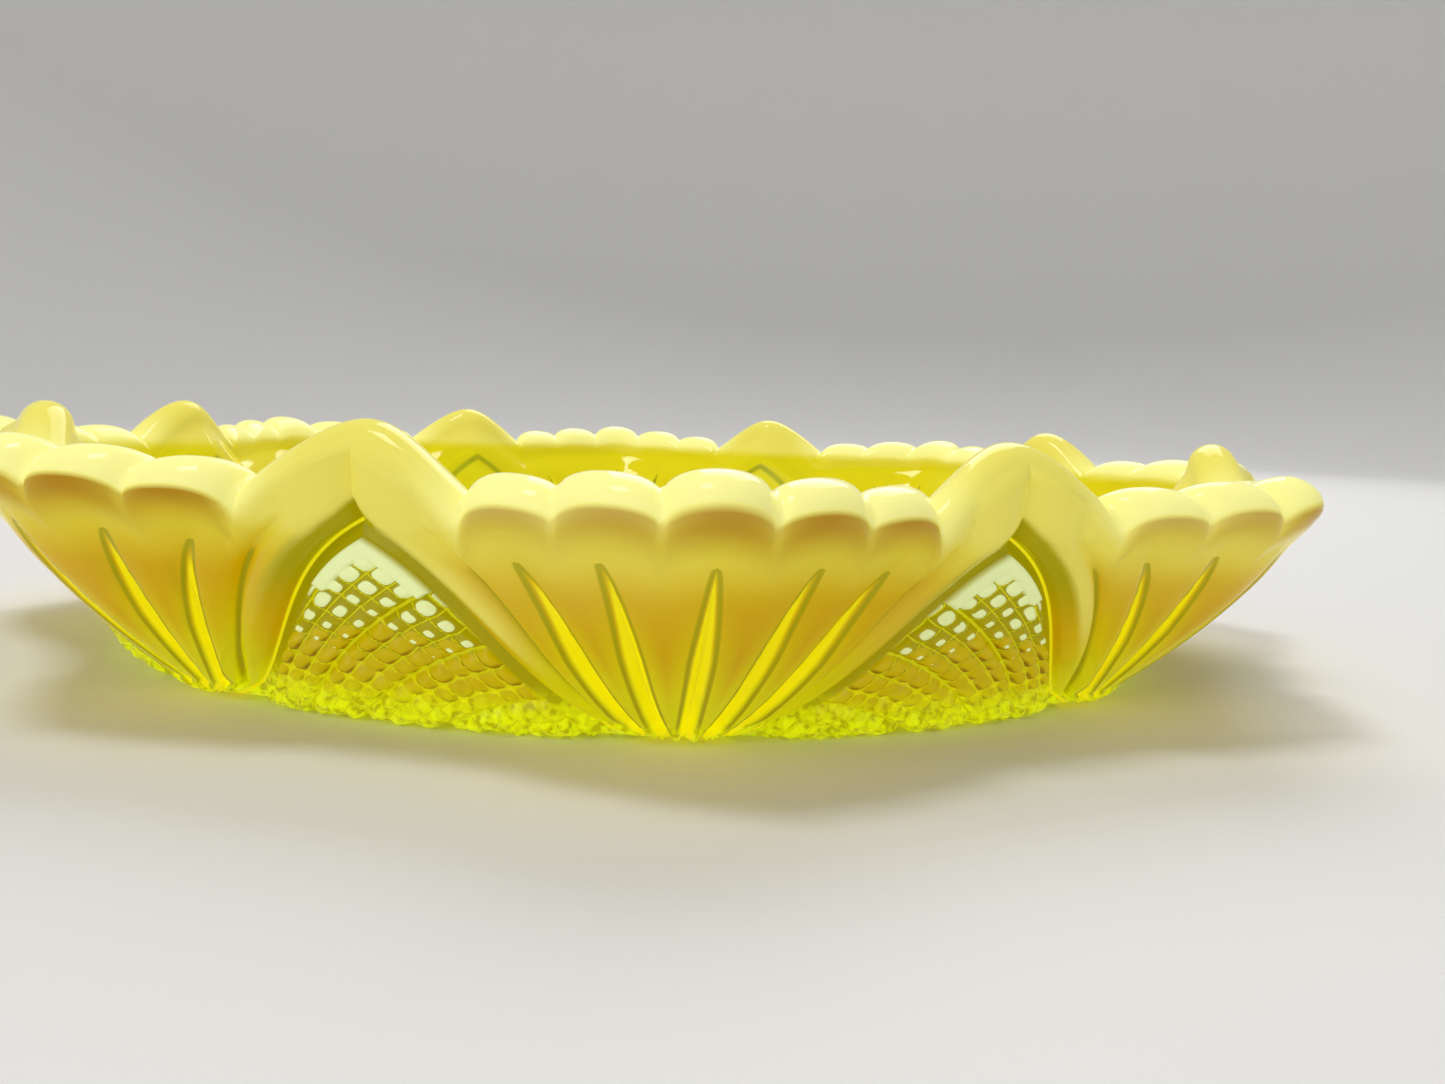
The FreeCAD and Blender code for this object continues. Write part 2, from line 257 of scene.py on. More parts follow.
# masks of the lattice, in small cells
CELL_EDGE = (-0.02, 0.02)
ROUNDNESS = 3.0                                 # power of a pillow's rounded square
WHITE_GROWTH = 0.15                             # growth of the white pillows from row to row
WHITE_REACH = 0.195                             # and their size where the upper cell starts
WHITE_EDGE = (0.03, -0.03)
WHITE_RISING = (0, 0.05)                        # white pillows start from this line on one side,
WHITE_FALLING = (-3.05, -3)                     # and from this one on the other
WHITE_FROM_MITRE = (0.03, 0.055)                # and stay clear of the mitres by this
MITRE_LINE = (0.034, 0.014)                     # bright line along a mitre
FINE_LINE = (0.45, 0.49)                        # and along a fine line
DOME_ROWS = (0.1, -0.4)                         # rows where the pillows turn into golden domes
DOME = (0.5, 0.4)                               # a dome's outline
DOME_RING = (0.12, 0.34)                        # its painted shade, a dark ring, from the middle out,
DOME_LOWER = (1.05, 0.65)                       # which is only on its lower side

# camera, in millimetres and degrees, found from the places of the rim's peaks and fans' points
CAMERA_AWAY = 216.9
CAMERA_HEIGHT = 35.9
CAMERA_BEARING = 3.925
CAMERA_HEADING = 7.397
CAMERA_PITCH = -5.712
CAMERA_ROLL = 2.252
CAMERA_LENS = 33.38
CAMERA_SENSOR = 36
CAMERA_NEAR = 0.005                             # nearest that it sees, in metres

# stage and light, in metres
SWEEP_FLOOR = 1.1
SWEEP_CURVE = 0.5
SWEEP_TOP = 1.3
SWEEP_STEP = 7.5                                # degrees from column to column
SWEEP_ROWS = 13
STAGE_COLOUR = (0.80, 0.79, 0.77, 1)
STAGE_ROUGHNESS = 0.7
STAGE_GAP = 0.0001                              # keeps the floor apart from the foot's flat face
LIT_POINT = (0, 0, 0.02)                        # where all lights are aimed
LIGHTS = (                                      # name, place, size and power
    ("back_light", (0.25, 0.75, 0.8), 0.7, 5.5),
    ("top_light", (-0.3, -0.1, 1.1), 0.3, 4),
    ("front_fill", (-0.5, -0.9, 0.5), 0.9, 2.6),
)
SKY_COLOUR = (0.9, 0.92, 0.95, 1)
SKY_STRENGTH = 0.36

# mesh
COLUMNS = FANS * 224                            # columns of the grid round the dish, 224 a fan
FAN_COLUMNS = 0.64                              # share of the columns that run up a fan
NARROWEST = 5.0                                 # least and most degrees that they spread over
WIDEST = 20.0
STRAIGHT = 30                                   # they are straight this far in from the foot's edge
HAUNCH_TOP = 2.6                                # height where the rounding of the foot ends
COVE_TOP = 14.0                                 # the rounding between the inside wall and floor
COVE_FOOT = 64.0
SMALLEST_RING = 2                               # radius of the grid's first and last row
UNDER_ROWS = 80                                 # rows of the grid in each part of the section
WALL_ROWS = 108
INSIDE_ROWS = 22
FLOOR_ROWS = 12
HAUNCH_ROWS = 9
ROLL_ROWS = 6
BEAD_ROWS = 8
BRIM_ROWS = 8
COVE_ROWS = 10
QUARTER = math.pi / 2                           # quarter of a turn, in radians

# inside wall
WALL_GROWTH = 1.2                               # how much thicker the wall is below the brim
GROWTH_END = 0.5                                # share of the way down where it has grown
LIP_END = 0.35                                  # share of the way down where the lip has gone
INNER_REACH = 0.93                              # how far the inside follows a fan out,
INNER_FALL = 1.12                               # how fast it falls back to its sides,
INNER_HOLLOW = 1.5                              # how hollow that fall is,
INNER_BLUNT = 0.015                             # the square of how round its start is,
INNER_START = 0.1225                            # and the root of that, so it starts at 0


# ---------------------------------------------------------------- shape functions
def fold(turn):
    """Degrees from the middle of the nearest fan."""
    step = 2 * HALF_TURN
    return np.abs((turn + HALF_TURN) % step - HALF_TURN)


def ease(low, high, value):
    """Smooth step from 0 at low to 1 at high."""
    share = np.clip((value - low) / (high - low), 0, 1)
    return share * share * (3 - 2 * share)


def blunted(share, blunt):
    """Straight rise from 0 at 0 to 1 at 1, with its foot rounded."""
    rise = (np.hypot(share, blunt) - blunt) / (np.hypot(1, blunt) - blunt)
    return np.clip(rise, 0, 1)


def soft_line(value, places, levels, blur):
    """A line through levels at places, with its corners rounded."""
    steps = (-1, -0.5, 0, 0.5, 1)
    return sum(np.interp(value + blur * step, places, levels) for step in steps) / len(steps)


def fan_radius(height):
    """Outer radius along the middle of a fan: a parabola through its point, waist and rim."""
    top = SCALLOP_TOPS[0]
    slope = (FAN_REACH - TIP) / top
    bulge = (WAIST_REACH - TIP - slope * WAIST) / (WAIST * (WAIST - top))
    return TIP + slope * height + bulge * height * (height - top)


def panel_radius(height):
    """Outer radius along the middle of a panel, before its relief."""
    share = np.clip(height / CREST, 0, 1)
    return PANEL_TOP - (PANEL_TOP - PANEL_FOOT) * (1 - share) ** PANEL_CURVE


def fan_edge(height):
    """Half the width of a fan at a height, in degrees."""
    share = np.clip(height / ARCH_TOP, 0, 1)
    low_growth, top_growth = EDGE_GROWTH
    return HALF_TURN * ((1 - ARCH_POINT) * share ** low_growth + ARCH_POINT * share ** top_growth)


def fan_share(away, height):
    """Place across a fan: 0 on its middle, 1 on its edge."""
    return away / np.maximum(fan_edge(height), LEAST_EDGE)


def scallop_place(away):
    """Number of the nearest scallop, and the place across it: 0 on its middle, 1 in its valleys."""
    number = np.minimum(np.rint(away / SCALLOP_TURN), len(SCALLOP_TOPS) - 1).astype(int)
    across = np.clip(np.abs(away - number * SCALLOP_TURN) / (SCALLOP_TURN / 2), 0, 1)
    return number, across


def crown(turn):
    """Height of the rim: five scallops on each fan and a peak over each panel."""
    away = fold(turn)
    number, across = scallop_place(away)
    outer_side = away > number * SCALLOP_TURN
    foot = np.take(VALLEYS, np.where(outer_side, number, np.maximum(number - 1, 0)))
    top = np.take(SCALLOP_TOPS, number)
    scallop = foot + (top - foot) * np.sqrt(1 - SCALLOP_ROUND * across ** SCALLOP_SQUARE)
    flank = np.clip((HALF_TURN - away) / (HALF_TURN - PEAK_FOOT), 0, 1)
    peak = CREST - (CREST - VALLEYS[-1]) * blunted(flank, PEAK_BLUNT)
    return np.where(away > PEAK_FOOT, peak, scallop)


def brim_line(turn):
    """Height of the rim without its scallops. The smooth inside starts below it."""
    away = fold(turn)
    valley_turns = (np.arange(len(VALLEYS)) + 0.5) * SCALLOP_TURN
    between = np.interp(away, valley_turns, VALLEYS)
    return np.where(away > PEAK_FOOT, crown(turn), between)


def lobe(turn):
    """1 on the middle of a scallop, 0 in the valleys and along the peaks."""
    away = fold(turn)
    _, across = scallop_place(away)
    return np.where(away > PEAK_FOOT, 0, np.sqrt(1 - across ** 2))


def steer(turn, height, level):
    """Turn of a column at a height. At level 1 the columns follow the flutes and the arches."""
    offset = (turn + HALF_TURN) % (2 * HALF_TURN) - HALF_TURN
    share = np.abs(offset) / HALF_TURN
    edge = np.clip(fan_edge(height), NARROWEST, WIDEST)
    up_fan = share / FAN_COLUMNS * edge
    up_panel = edge + (share - FAN_COLUMNS) / (1 - FAN_COLUMNS) * (HALF_TURN - edge)
    away = np.where(share < FAN_COLUMNS, up_fan, up_panel)
    return turn + np.sign(offset) * (away - np.abs(offset)) * level


def panel_length(height):
    """Distance along the middle of a panel from the lattice's foot to a height."""
    heights = np.linspace(0, CREST, LENGTH_STEPS)
    radii = panel_radius(heights)
    steps = np.hypot(np.diff(heights), np.diff(radii))
    lengths = np.concatenate(([0], np.cumsum(steps)))
    return np.interp(height, heights, lengths) - np.interp(LATTICE_FOOT, heights, lengths)


def arch_distance(away, height):
    """Signed distance in a panel from its arch, in the unrolled wall. Positive inside it."""
    heights = np.linspace(0, ARCH_TOP, ARCH_STEPS)
    curve_x = (HALF_TURN - fan_edge(heights)) * DEGREE
    curve_y = panel_length(heights)
    x = (HALF_TURN - away) * DEGREE
    y = panel_length(height)
    nearest = np.full(np.shape(x), np.inf)
    for x0, y0, x1, y1 in zip(curve_x, curve_y, curve_x[1:], curve_y[1:]):
        run = np.array([x1 - x0, y1 - y0])
        share = np.clip(((x - x0) * run[0] + (y - y0) * run[1]) / (run @ run), 0, 1)
        gap = np.hypot(x - x0 - share * run[0], y - y0 - share * run[1])
        nearest = np.minimum(nearest, gap)
    inside = away > fan_edge(height)
    return np.where(inside, nearest, -nearest)


def smooth_wall(turn, height):
    """Outer radius of the wall with no cut pattern."""
    away = fold(turn)
    edge = panel_radius(height)
    share = np.clip(fan_share(away, height), 0, 1)
    near_rim = ease(*RIM_FORM, height)
    left = 1 - blunted(share, RIDGE_BLUNT + RIM_RIDGE_BLUNT * near_rim)
    crossing = left ** FLANK_HOLLOW * (1 - near_rim) + blunted(left, RIM_FLANK_BLUNT) * near_rim
    radius = edge + np.maximum(fan_radius(height) - LIP - edge, 0) * crossing
    return radius + soft_line(arch_distance(away, height), STEP_PLACES, STEP_LEVELS, STEP_BLUR)


# ---------------------------------------------------------------- pattern
def flute_relief(away, height):
    """Depth of a fan's V flutes, and how far a point is inside the nearest one."""
    width = fan_edge(height) * DEGREE
    share = fan_share(away, height)
    depth = np.zeros(np.shape(away))
    inside = np.full(np.shape(away), FLUTE_FAR)
    for place, top in FLUTES:
        gap = np.abs(share - place) * width
        taper = np.clip((top - height) / FLUTE_TAPER, 0, 1) ** FLUTE_POINT
        half = np.minimum(FLUTE_WIDTH, FLUTE_SHARE * width) * taper
        cut = np.clip(half - np.hypot(gap, FLUTE_BOTTOM), 0, None) * FLUTE_STEEP
        depth = np.maximum(depth, cut)
        inside = np.maximum(inside, half - gap - FLUTE_END * (height > top))
    gap = np.abs(share - CREASE) * width
    crease = CREASE_DEPTH * np.exp(-(gap / CREASE_WIDTH) ** 2) * ease(*CREASE_HEIGHTS, height)
    # the crease's mark, along which a line of painted shade is drawn
    mark = -CREASE_MARK - CREASE_MARK_FALL * gap
    mark = mark - CREASE_MARK_END * ease(*CREASE_MARK_HEIGHTS, height)
    return np.maximum(depth, crease), np.maximum(inside, mark)


def petal_crowns(away, height):
    """Height of the rounded petals between the flutes. The last one runs on up to the peak."""
    width = fan_edge(height) * DEGREE
    share = fan_share(away, height)
    crowns = np.zeros(np.shape(away))
    for start, end, crown_height in PETALS:
        part = np.clip((share - start) / (end - start), 0, 1)
        rise = np.minimum(crown_height, PETAL_STEEP * (end - start) * width)
        if end < 1:
            rise = rise * ease(*PETAL_HEIGHTS, height)
        crowns = crowns + rise * (4 * part * (1 - part)) ** PETAL_ROUND
    return crowns


def lattice_lines(away, height):
    """Places across a panel, counted in small cells along the lattice's two sets of lines."""
    across = (HALF_TURN - away) * DEGREE
    up = panel_length(height) + LATTICE_SAG * across ** 2
    small = CELL / SMALL_CELLS
    return (up + LATTICE_SLOPE * across) / small, (up - LATTICE_SLOPE * across) / small


def lattice_relief(rising, falling, distance):
    """Relief of a panel's lattice: pillows between fine lines, parted by deeper mitres."""
    pillow = np.ones(rising.shape)
    mitre = np.zeros(rising.shape)
    for line in (rising, falling):
        part = line % 1
        pillow = pillow * (4 * part * (1 - part)) ** PILLOW_SQUARE
        gap = np.abs((line / SMALL_CELLS + 0.5) % 1 - 0.5) * CELL * ACROSS_LINES
        mitre = np.maximum(mitre, np.clip(1 - gap / MITRE_WIDTH, 0, 1))
    band = (np.minimum(rising, falling) > 0) * ease(*ARCH_BAND, distance)
    pillow = np.maximum(pillow, band)
    return PILLOW * pillow - MITRE * mitre * (1 - band)


def star_relief(x, y):
    """Depth of the underside's star: eight long mitres, each with three finer lines beside it."""
    depth = np.zeros(np.shape(x))
    for number in range(FANS):
        angle = 2 * math.pi * number / FANS
        offset = x * math.cos(angle) + y * math.sin(angle)
        for place, half, deep in STAR_LINES:
            cut = np.clip(1 - np.abs(offset - place) / half, 0, 1) * deep
            depth = np.maximum(depth, cut)
    return depth


# ---------------------------------------------------------------- rows of the section
def rim_bead(turn):
    """Radius of the rim's rounding."""
    return BEAD + (PEAK_BEAD - BEAD) * ease(PEAK_FOOT, HALF_TURN, fold(turn))


def rim_middle(turn):
    """Radius and height of the middle of the rim's rounding."""
    bead = rim_bead(turn)
    shoulder = crown(turn) - bead
    return smooth_wall(turn, shoulder) - bead, shoulder


def underside_rows(even_turn):
    """The flat underside and the rounding at its edge."""
    for radius in np.linspace(SMALLEST_RING, FOOT, UNDER_ROWS):
        yield "under", steer(even_turn, 0, ease(FOOT - STRAIGHT, FOOT, radius)), radius, 0
    for angle in np.linspace(0, QUARTER, HAUNCH_ROWS)[1:-1]:
        height = HAUNCH_TOP * (1 - math.cos(angle))
        here = steer(even_turn, height, 1)
        foot_wall = smooth_wall(here, HAUNCH_TOP * np.ones(COLUMNS))
        yield "haunch", here, FOOT + (foot_wall - FOOT) * math.sin(angle), height


def wall_rows(even_turn, turn):
    """The outer wall, which flows out into the rim's rounding, and that rounding up to its top."""
    bead = rim_bead(turn)
    middle, shoulder = rim_middle(turn)
    swell = SWELL * lobe(turn)
    wall_top = shoulder - bead * math.sin(ROLL)
    roll = middle + (bead + swell * math.cos(ROLL)) * math.cos(ROLL)
    overhang = np.maximum(roll - smooth_wall(turn, wall_top), 0)
    for share in np.linspace(0, 1, WALL_ROWS):
        height = HAUNCH_TOP + (wall_top - HAUNCH_TOP) * share
        here = steer(even_turn, height, 1)
        flow = overhang * ease(wall_top - FILLET, wall_top, height)
        yield "outside", here, smooth_wall(here, height) + flow, height
    for angle in np.linspace(-ROLL, 0, ROLL_ROWS)[1:]:
        height = shoulder + bead * math.sin(angle)
        roll = middle + (bead + swell * math.cos(angle)) * math.cos(angle)
        yield "outside", turn, np.maximum(roll, smooth_wall(turn, height)), height
    for angle in np.linspace(0, QUARTER, BEAD_ROWS)[1:]:
        reach = bead + swell * math.cos(angle)
        yield "bead", turn, middle + reach * math.cos(angle), shoulder + bead * math.sin(angle)


def inside_rows(turn):
    """The inside, from the rim's top down the wall, round the cove and over the floor."""
    bead = rim_bead(turn)
    middle, _ = rim_middle(turn)
    brim = brim_line(turn) - bead
    reach = middle - inner_wall(turn, brim, 2 * bead, 0)
    for angle in np.linspace(QUARTER, 0, BRIM_ROWS)[1:-1]:
        height = brim + (crown(turn) - brim) * math.sin(angle)
        yield "brim", turn, middle - reach * math.cos(angle), height
    for share in np.linspace(0, 1, INSIDE_ROWS):
        height = brim + (COVE_TOP - brim) * share
        thickness = 2 * bead + WALL_GROWTH * ease(0, GROWTH_END, share)
        cove = inner_wall(turn, height, thickness, share)
        yield "inside", turn, cove, height
    for angle in np.linspace(QUARTER, 0, COVE_ROWS)[1:]:
        radius = COVE_FOOT + (cove - COVE_FOOT) * math.sin(angle)
        yield "cove", turn, radius, FLOOR + (COVE_TOP - FLOOR) * (1 - math.cos(angle))
    for radius in np.linspace(COVE_FOOT, SMALLEST_RING, FLOOR_ROWS)[1:]:
        yield "floor", turn, radius, FLOOR


def inner_wall(turn, height, thickness, share):
    """Radius of the smooth inside. It follows the fans softly and leaves out their lip."""
    away = fold(turn)
    edge = panel_radius(height) + LIP * ease(LIP_END, 0, share)
    fall = np.sqrt((away / HALF_TURN) ** 2 + INNER_BLUNT) - INNER_START
    crossing = INNER_REACH * (1 - INNER_FALL * fall) ** INNER_HOLLOW
    reach = np.maximum(fan_radius(height) - edge, 0)
    return edge + reach * crossing - thickness


def section():
    """Part, turn, radius and height of every row, before the relief."""
    even_turn = np.arange(COLUMNS) * 360 / COLUMNS
    turn = steer(even_turn, CREST, 1)
    rows = [*underside_rows(even_turn), *wall_rows(even_turn, turn), *inside_rows(turn)]
    ones = np.ones(COLUMNS)
    return [(part, here, radius * ones, height * ones) for part, here, radius, height in rows]


# ---------------------------------------------------------------- the dish's mesh
def surface_normals(points):
    """Unit normals of a grid of points that closes round its columns."""
    round_step = np.roll(points, -1, axis=1) - np.roll(points, 1, axis=1)
    along_step = np.gradient(points, axis=0)
    normals = np.cross(round_step, along_step)
    lengths = np.linalg.norm(normals, axis=2, keepdims=True)
    return normals / np.maximum(lengths, LEAST_LENGTH)


def shape_dish():
    """Points of the dish's grid, and the fields over it that its material is painted by."""
    rows = section()
    part = np.array([row[0] for row in rows])[:, None]
    turn = np.array([row[1] for row in rows])
    radius = np.array([row[2] for row in rows])
    height = np.array([row[3] for row in rows])
    away = fold(turn)
    angle = np.radians(turn)
    points = np.dstack((radius * np.cos(angle), radius * np.sin(angle), height))
    normals = surface_normals(points)

    outer = (part == "outside") | (part == "haunch")
    inner = np.isin(part, ("brim", "inside", "cove", "floor"))
    distance = arch_distance(away, height)
    in_fan = outer & (distance < 0)
    flute, in_flute = flute_relief(away, height)
    rising, falling = lattice_lines(away, height)
    lattice = lattice_relief(rising, falling, distance) * ease(*FIELD, distance)
    star = star_relief(points[..., 0], points[..., 1]) * ease(FOOT, FOOT - STAR_STOP, radius)
    petals = (petal_crowns(away, height) - flute) * ease(*PETAL_EDGE, distance)
    relief = np.where(in_fan, petals, 0)
    relief = np.where(outer & (distance > 0), lattice, relief)
    relief = np.where(part == "under", -star, relief)
    points = points + normals * relief[..., None]
    points[..., 2] = np.maximum(points[..., 2], 0)

    glow = np.where(in_fan, ease(*FAN_GLOW, height), ease(*PANEL_GLOW, height))
    fields = {
        "outer": outer,
        "inner": inner,
        "inner_wall": inner * ease(*INNER_WALL, radius),
        "height": height,
        "arch": distance,
        "flute": in_flute,
        "rising": rising,
        "falling": falling,
        "glow": glow * (radius > COVE_FOOT),
    }
    for number, line_angle in enumerate(STAR_ANGLES):
        fields[f"star_{number}"] = radius * np.cos(np.radians(away - line_angle))
    fields.update(cloudiness(part, turn, height, distance))
    whole = {name: np.broadcast_to(field, radius.shape) for name, field in fields.items()}
    return points, whole


def cloudiness(part, turn, height, distance):
    """Where the glass is opal, with painted light on one side of each fan, and where dark amber
    shade is painted below the scallops.
    """
    away = fold(turn)
    outer = part == "outside"
    lobes = lobe(turn)
    scallops = ease(PEAK_FOOT + 1, PEAK_FOOT - 1, away)
    edge = OPAL_EDGE + EDGE_LOBE * lobes * scallops - EDGE_PEAK * (1 - scallops)
    fade = EDGE_SOFT + PEAK_SOFT * (1 - scallops)
    rim = ease(edge - fade, edge + EDGE_SOFT, height)
    # painted shade: dark amber crescents under the scallops' overhanging rounding
    low_start, low_full = CRESCENT_LOW
    crescent_shade = ease(edge + CRESCENT_TOP, edge - CRESCENT_TOP, height)
    crescent_shade = crescent_shade * ease(edge - low_start, edge - low_full, height)
    crescent_shade = crescent_shade * lobes ** CRESCENT_ROUND * scallops
    drift = 0.5 + 0.5 * np.sin(np.radians(turn + DRIFT_TURN))
    # painted light: one side of each fan paler and creamier
    side = ease(*LIT_SIDE_TURNS, (turn + HALF_TURN) % (2 * HALF_TURN) - HALF_TURN)
    last_petal = np.clip((fan_share(away, height) - STREAK_START) / (1 - STREAK_START), 0, 1)
    streak = ease(0, STREAK_FULL, last_petal) * ease(*STREAK_HEIGHTS, height)
    streak = streak * (STREAK_LEAST + STREAK_LIT_SIDE * side)
    haze = HAZE + HAZE * (1 - lobes) + HAZE * drift
    haze = haze * ease(*HAZE_HEIGHTS, height) * (1 - crescent_shade)
    haze = haze + LIT_SIDE_HAZE * side * ease(*LIT_SIDE_HAZE_HEIGHTS, height)
    opal = np.maximum(rim, np.maximum(streak, haze)) * outer * ease(*OPAL_FROM_ARCH, distance)
    inner_rim = (part == "inside") | (part == "brim")
    opal = opal + ease(INNER_OPAL - 1, INNER_OPAL + 1, height) * inner_rim + (part == "bead")
    lemon_start, lemon_full = LEMON_TURN
    lemon = ease(*LEMON_BAND, crown(turn) - height)
    lemon = lemon * ease(PEAK_FOOT + lemon_start, PEAK_FOOT + lemon_full, away)
    return {
        "opal": opal,
        # painted shade below the scallops
        "amber": crescent_shade * outer,
        "lip": lemon,
    }


def build_dish():
    """The dish's closed mesh: the grid, and a fan of triangles at each end of the section."""
    points, fields = shape_dish()
    row_count = len(points)
    ends = np.array([[0, 0, points[0, 0, 2]], [0, 0, points[-1, 0, 2]]])
    vertices = np.vstack((points.reshape(-1, 3), ends)) * MM
    here = np.arange(row_count * COLUMNS).reshape(row_count, COLUMNS)
    beside = np.roll(here, -1, axis=1)
    quads = np.dstack((here[:-1], beside[:-1], beside[1:], here[1:])).reshape(-1, 4)
    last = row_count * COLUMNS
    bottom = np.column_stack((np.full(COLUMNS, last), beside[0], here[0]))
    top = np.column_stack((np.full(COLUMNS, last + 1), here[-1], beside[-1]))
    triangles = np.vstack((bottom, top))

    mesh = bpy.data.meshes.new("dish")
    mesh.vertices.add(len(vertices))
    mesh.vertices.foreach_set("co", vertices.ravel())
    corners = np.concatenate((quads.ravel(), triangles.ravel()))
    sizes = np.concatenate((np.full(len(quads), 4), np.full(len(triangles), 3)))
    mesh.loops.add(len(corners))
    mesh.loops.foreach_set("vertex_index", corners)
    mesh.polygons.add(len(sizes))
    mesh.polygons.foreach_set("loop_start", np.concatenate(([0], np.cumsum(sizes)[:-1])))
    mesh.update(calc_edges=True)
    mesh.shade_smooth()
    for name, field in fields.items():
        attribute = mesh.attributes.new(name, "FLOAT", "POINT")
        end_values = [np.mean(field[0]), np.mean(field[-1])]
        attribute.data.foreach_set("value", np.concatenate((field.ravel(), end_values)))
    if mesh.validate():
        raise RuntimeError("the dish's mesh has faulty faces")
    dish = bpy.data.objects.new("pressed_dish", mesh)
    bpy.context.collection.objects.link(dish)
    return dish


# ---------------------------------------------------------------- materials
MIX_SOCKETS = (0, 6, 7)                         # factor and the two colours


class Painter:
    """Shorthand for the nodes that a material is made of. A socket is linked, a value is set."""

    def __init__(self, name):
        """A new material with nothing but its shader."""
        self.material = bpy.data.materials.new(name)
        self.material.use_nodes = True
        self.tree = self.material.node_tree
        self.shader = self.tree.nodes["Principled BSDF"]

    def put(self, socket, value):
        """Links a socket to the given one, or sets its value."""
        if isinstance(value, bpy.types.NodeSocket):
            self.tree.links.new(value, socket)
        else:
            socket.default_value = value

    def field(self, name):
        """A value stored at each point of the mesh."""
        node = self.tree.nodes.new("ShaderNodeAttribute")
        node.attribute_name = name
        return node.outputs["Fac"]

    def calc(self, operation, first, second=0.0):
        """Sum, product or other operation on two values."""
        node = self.tree.nodes.new("ShaderNodeMath")
        node.operation = operation
        self.put(node.inputs[0], first)
        self.put(node.inputs[1], second)
        return node.outputs[0]

    def both(self, *values):
        """Product of several masks."""
        result = values[0]
        for value in values[1:]:
            result = self.calc("MULTIPLY", result, value)
        return result

    def step(self, value, low, high):
        """Smooth step from 0 at low to 1 at high."""
        node = self.tree.nodes.new("ShaderNodeMapRange")
        node.interpolation_type = "SMOOTHSTEP"
        self.put(node.inputs["Value"], value)
        self.put(node.inputs["From Min"], low)
        self.put(node.inputs["From Max"], high)
        return node.outputs["Result"]

    def scaled(self, value, low, high):
        """A share from 0 to 1 brought to the range from low to high."""
        node = self.tree.nodes.new("ShaderNodeMapRange")
        self.put(node.inputs["Value"], value)
        self.put(node.inputs["To Min"], low)
        self.put(node.inputs["To Max"], high)
        return node.outputs["Result"]

    def mix(self, factor, first, second):
        """Mix of two colours."""
        node = self.tree.nodes.new("ShaderNodeMix")
        node.data_type = "RGBA"
        for index, value in zip(MIX_SOCKETS, (factor, first, second)):
            self.put(node.inputs[index], (*value, 1) if isinstance(value, tuple) else value)
        return node.outputs[2]

    def noise(self, scale, detail):
        """Noise over the object's own coordinates."""
        place = self.tree.nodes.new("ShaderNodeTexCoord").outputs["Object"]
        node = self.tree.nodes.new("ShaderNodeTexNoise")
        self.put(node.inputs["Vector"], place)
        self.put(node.inputs["Scale"], scale)
        self.put(node.inputs["Detail"], detail)
        return node.outputs["Fac"]


def lattice_masks(paint, arch):
    """Masks of a panel: white pillows, bright lines, low domes and the shade painted on their lower
    edges.
    """
    rising = paint.field("rising")
    falling = paint.field("falling")
    reach = 0.0
    round_sum = 0.0
    part_sum = 0.0
    cell_sum = 1.0
    mitre_gap = 1.0
    for line in (rising, falling):
        cell = paint.calc("FLOOR", line)
        part = paint.calc("SUBTRACT", line, cell)
        off = paint.calc("ABSOLUTE", paint.calc("SUBTRACT", part, 0.5))
        reach = paint.calc("MAXIMUM", reach, off)
        round_sum = paint.calc("ADD", round_sum, paint.calc("POWER", off, ROUNDNESS))
        part_sum = paint.calc("ADD", part_sum, part)
        cell_sum = paint.calc("ADD", cell_sum, cell)
        diamond = paint.calc("DIVIDE", line, SMALL_CELLS)
        place = paint.calc("FRACT", paint.calc("ADD", diamond, 0.5))
        gap = paint.calc("ABSOLUTE", paint.calc("SUBTRACT", place, 0.5))
        mitre_gap = paint.calc("MINIMUM", mitre_gap, gap)
    spread = paint.calc("POWER", round_sum, 1 / ROUNDNESS)
    upper_cell = paint.step(paint.calc("MINIMUM", rising, falling), *CELL_EDGE)
    level = paint.calc("ADD", paint.calc("MULTIPLY", cell_sum, 0.5),
                       paint.calc("MULTIPLY", upper_cell, -0.5))
    white_reach = paint.calc("ADD", paint.calc("MULTIPLY", level, WHITE_GROWTH), WHITE_REACH)
    white = paint.step(paint.calc("SUBTRACT", spread, white_reach), *WHITE_EDGE)
    white = paint.both(white, paint.step(rising, *WHITE_RISING),
                       paint.step(falling, *WHITE_FALLING))
    joined = paint.both(upper_cell, paint.step(arch, *ARCH_BAND))
    apart = paint.step(joined, 1.0, 0.0)
    mitre = paint.both(paint.step(mitre_gap, *MITRE_LINE), apart)
    line = paint.both(paint.step(reach, *FINE_LINE), apart)
    low = paint.step(level, *DOME_ROWS)
    dome = paint.both(paint.step(spread, *DOME), low)
    # painted shade on each dome's lower side
    dark = paint.both(dome, paint.step(spread, *DOME_RING), paint.step(part_sum, *DOME_LOWER))
    white = paint.both(white, paint.step(mitre_gap, *WHITE_FROM_MITRE))
    return paint.calc("MAXIMUM", white, joined), paint.calc("MAXIMUM", mitre, line), dome, dark


def star_mask(paint):
    """The underside's star, painted as dark shade lines on the floor where it would show through.
    """
    mask = 0.0
    for number in range(len(STAR_ANGLES)):
        offset = paint.field(f"star_{number}")
        for place, half, _ in STAR_LINES:
            gap = paint.calc("ABSOLUTE", paint.calc("SUBTRACT", offset, place))
            mask = paint.calc("MAXIMUM", mask, paint.step(gap, half, STAR_SOFT * half))
    return mask


def opal_mask(paint, fan, cloud, height, flute):
    """The opal of the mesh, cloudier or clearer in patches, and clear in the flutes."""
    patches = paint.both(paint.scaled(cloud, -PATCHES, PATCHES),
                         paint.step(height, *PATCH_HEIGHTS), fan)
    opal = paint.calc("ADD", paint.field("opal"), patches)
    cut = paint.both(fan, paint.step(flute, *CLEAR_CUT), paint.step(height, *CLEAR_CUT_TOP))
    return paint.calc("MULTIPLY", opal, paint.scaled(cut, 1.0, CUT_OPAL))


